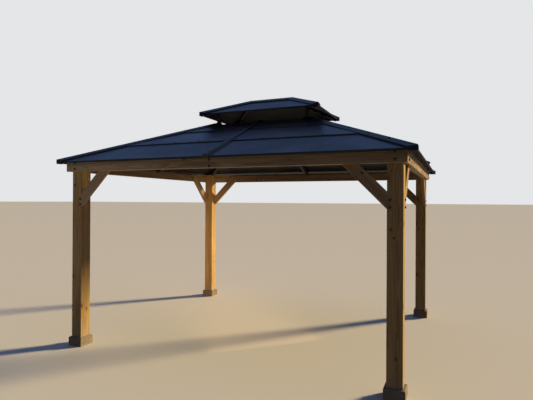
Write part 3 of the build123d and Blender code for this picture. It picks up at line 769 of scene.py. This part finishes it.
def roof_place(side, across, level_in, reach):
    """Point over a slope: across its width, and level in from its eave."""
    out = SIDES[side]
    along = Vector((-out.y, out.x, 0))
    place = out * (reach - level_in) + along * across
    return Vector((place.x, place.y, ABOVE))


def hip_places(reach_x, reach_y, levels):
    """Points over the caps of four hips, level in from the corners they run to."""
    return [Vector((hand_x * (reach_x - level_in), hand_y * (reach_y - level_in + CAP_FACE),
                    ABOVE))
            for hand_x in (-1, 1) for hand_y in (-1, 1) for level_in in levels]


def screws_piece(name, node, starts, seed):
    """One mesh of the screws that stand on a CAD node under the starts."""
    heads_piece(name, seats(node, starts, DOWN), SCREW, covers_painted_shade_coat, seed)


eave_y = -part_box("roof_sheets_front")[0].y
eave_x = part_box("roof_sheets_right")[1].x
for side, out in SIDES.items():
    reach, half = (eave_y, eave_x) if out.y else (eave_x, eave_y)
    starts = []
    for seam in SEAMS:
        level_in = seam + NOSE_SCREWS_IN
        last = half - level_in - NOSE_SCREWS_CLEAR
        for hand in (-1, 1):
            for across in screw_row(NOSE_SCREWS_FROM, last, NOSE_SCREW_GAP):
                starts.append(roof_place(side, hand * across, level_in, reach))
    screws_piece(f"{side}_slope_screws", f"roof_sheets_{side}", starts, seed=4)

starts = []
for side, out in SIDES.items():
    reach = eave_y if out.y else eave_x
    starts += [roof_place(side, 0.0, level_in, reach) for level_in in CHANNEL_SCREWS]
screws_piece("channel_screws", "mid_slope_covers", starts, seed=5)
screws_piece("hip_cap_screws", "hip_covers", hip_places(eave_x, eave_y, CAP_SCREWS), seed=6)

raised_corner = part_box("cupola_roof_sheets")[1]
starts = [Vector((across, CAP_FACE, ABOVE)) for across in RIDGE_SCREWS]
starts += hip_places(raised_corner.x, raised_corner.y, RAISED_SCREWS)
screws_piece("raised_cap_screws", "cupola_covers", starts, seed=7)

# Studio. A plain pale floor, a low soft warm light from the right and rear as in the
# photograph, two weak lamps low down, one under the roof and one at the front left, and a
# blue sky for light and reflections, where the camera sees a pale backdrop instead.
FLOOR_HALF = 400.0
FLOOR_COLOUR = (0.6, 0.55, 0.49, 1.0)
FLOOR_ROUGHNESS = 0.9
floor_mesh = bpy.data.meshes.new("floor")
floor_mesh.from_pydata([(-FLOOR_HALF, -FLOOR_HALF, 0), (FLOOR_HALF, -FLOOR_HALF, 0),
                        (FLOOR_HALF, FLOOR_HALF, 0), (-FLOOR_HALF, FLOOR_HALF, 0)],
                       [], [(0, 1, 2, 3)])
floor = bpy.data.objects.new("floor", floor_mesh)
bpy.context.scene.collection.objects.link(floor)
paint = bpy.data.materials.new("floor paint")
paint.use_nodes = True
painted = paint.node_tree.nodes["Principled BSDF"].inputs
painted["Base Color"].default_value = FLOOR_COLOUR
painted["Roughness"].default_value = FLOOR_ROUGHNESS
floor_mesh.materials.append(paint)
floor.visible_diffuse = False        # its bounce comes from the world, darker in front


def place_light(light, place, target):
    """Put a light at a place, shining on a target and showing in no reflection."""
    shown = bpy.data.objects.new(light.name, light)
    shown.location = place
    shown.rotation_mode = "QUATERNION"
    shown.rotation_quaternion = (place - target).to_track_quat("Z", "Y")
    shown.visible_glossy = False
    bpy.context.scene.collection.objects.link(shown)


def soft_lamp(name, place, target, size, spread, energy, color):
    """Square lamp at a place, shining on a target."""
    lamp = bpy.data.lights.new(name, "AREA")
    lamp.size = size
    lamp.spread = math.radians(spread)
    lamp.energy = energy
    lamp.color = color
    place_light(lamp, place, target)


KEY_BEARING = math.radians(47)       # behind the right-hand side
KEY_HEIGHT = math.radians(18)
key = bpy.data.lights.new("warm key", "SUN")
key.energy = 8.2
key.angle = math.radians(9)          # how wide the light looks, which softens shadows
key.color = (1.0, 0.83, 0.48)
key_direction = Vector((math.cos(KEY_BEARING) * math.cos(KEY_HEIGHT),
                        math.sin(KEY_BEARING) * math.cos(KEY_HEIGHT), math.sin(KEY_HEIGHT)))
place_light(key, key_direction, Vector())
soft_lamp("warm bounce", Vector((0.3, -0.7, 0.3)), Vector((-1.8, 1.5, 0.55)), size=1.4,
          spread=62, energy=16.5, color=(1.0, 0.66, 0.36))
soft_lamp("front fill", Vector((-2.6, -4.2, 0.3)), Vector((-1.3, -1.6, 1.8)), size=1.6,
          spread=70, energy=4.0, color=(1.0, 0.98, 0.95))

SKY = (0.23, 0.37, 0.77, 1.0)
HORIZON = (0.5, 0.5, 0.5, 1.0)
MIRRORED_HORIZON = (0.12, 0.13, 0.15, 1.0)
LOWER_HALF = (0.6, 0.47, 0.34, 1.0)
BACKDROP = (0.78, 0.79, 0.8, 1.0)
HORIZON_BAND = (-0.02, 0.02)         # sines of the heights between which the lower half
SKY_BAND = (0.05, 0.45)              # turns to the horizon, and the horizon to the sky
FRONT_TO_REAR = (-0.9, 0.1)          # how far to the rear a ray points, from the dim part
DIM_TO_BRIGHT = (0.12, 0.5)          # in front to the bright part, and their strengths
world = bpy.data.worlds.new("studio")
bpy.context.scene.world = world
world.use_nodes = True
world.node_tree.nodes.clear()
n = Nodes(world.node_tree)
ray = n.put("ShaderNodeTexCoord").outputs["Generated"]
bearing = n.put("ShaderNodeSeparateXYZ", [ray]).outputs
rays = n.put("ShaderNodeLightPath").outputs
horizon = n.mix(rays["Is Glossy Ray"], HORIZON, MIRRORED_HORIZON)
below = n.mix(n.step(bearing["Z"], *HORIZON_BAND), LOWER_HALF, horizon)
sky = n.mix(n.step(bearing["Z"], *SKY_BAND), below, SKY)
strength = n.step(bearing["Y"], *FRONT_TO_REAR, *DIM_TO_BRIGHT)
light = n.put("ShaderNodeBackground", [sky, strength])
backdrop = n.put("ShaderNodeBackground", [BACKDROP, 1.0])
blend = n.put("ShaderNodeMixShader", [rays["Is Camera Ray"], light.outputs[0],
                                      backdrop.outputs[0]])
n.put("ShaderNodeOutputWorld", [blend.outputs[0]])
bpy.context.scene.view_settings.view_transform = "Standard"

# Camera. Almost level, 1.7 m up, in front of the right-hand half; its place, turn and
# lens were solved from the photograph's straight edges.
CAMERA_PLACE = Vector((2.2918, -5.5444, 1.7102))
CAMERA_TURN = 0.4017                 # radians to the left of the front's normal
CAMERA_LIFT = 0.0026
CAMERA_ROLL = 0.0053
CAMERA_LENS = 30.09                  # millimetres on a 36 mm wide sensor
ahead = Vector((-math.sin(CAMERA_TURN) * math.cos(CAMERA_LIFT),
                math.cos(CAMERA_TURN) * math.cos(CAMERA_LIFT), math.sin(CAMERA_LIFT)))
level = Vector((math.cos(CAMERA_TURN), math.sin(CAMERA_TURN), 0.0))
upright = level.cross(ahead)
right = math.cos(CAMERA_ROLL) * level + math.sin(CAMERA_ROLL) * upright
above = math.cos(CAMERA_ROLL) * upright - math.sin(CAMERA_ROLL) * level
camera = bpy.data.cameras.new("camera")
camera.lens = CAMERA_LENS
camera_object = bpy.data.objects.new("camera", camera)
camera_object.matrix_world = Matrix.Translation(CAMERA_PLACE) @ Matrix(
    (right, above, -ahead)).transposed().to_4x4()
bpy.context.scene.collection.objects.link(camera_object)
bpy.context.scene.camera = camera_object
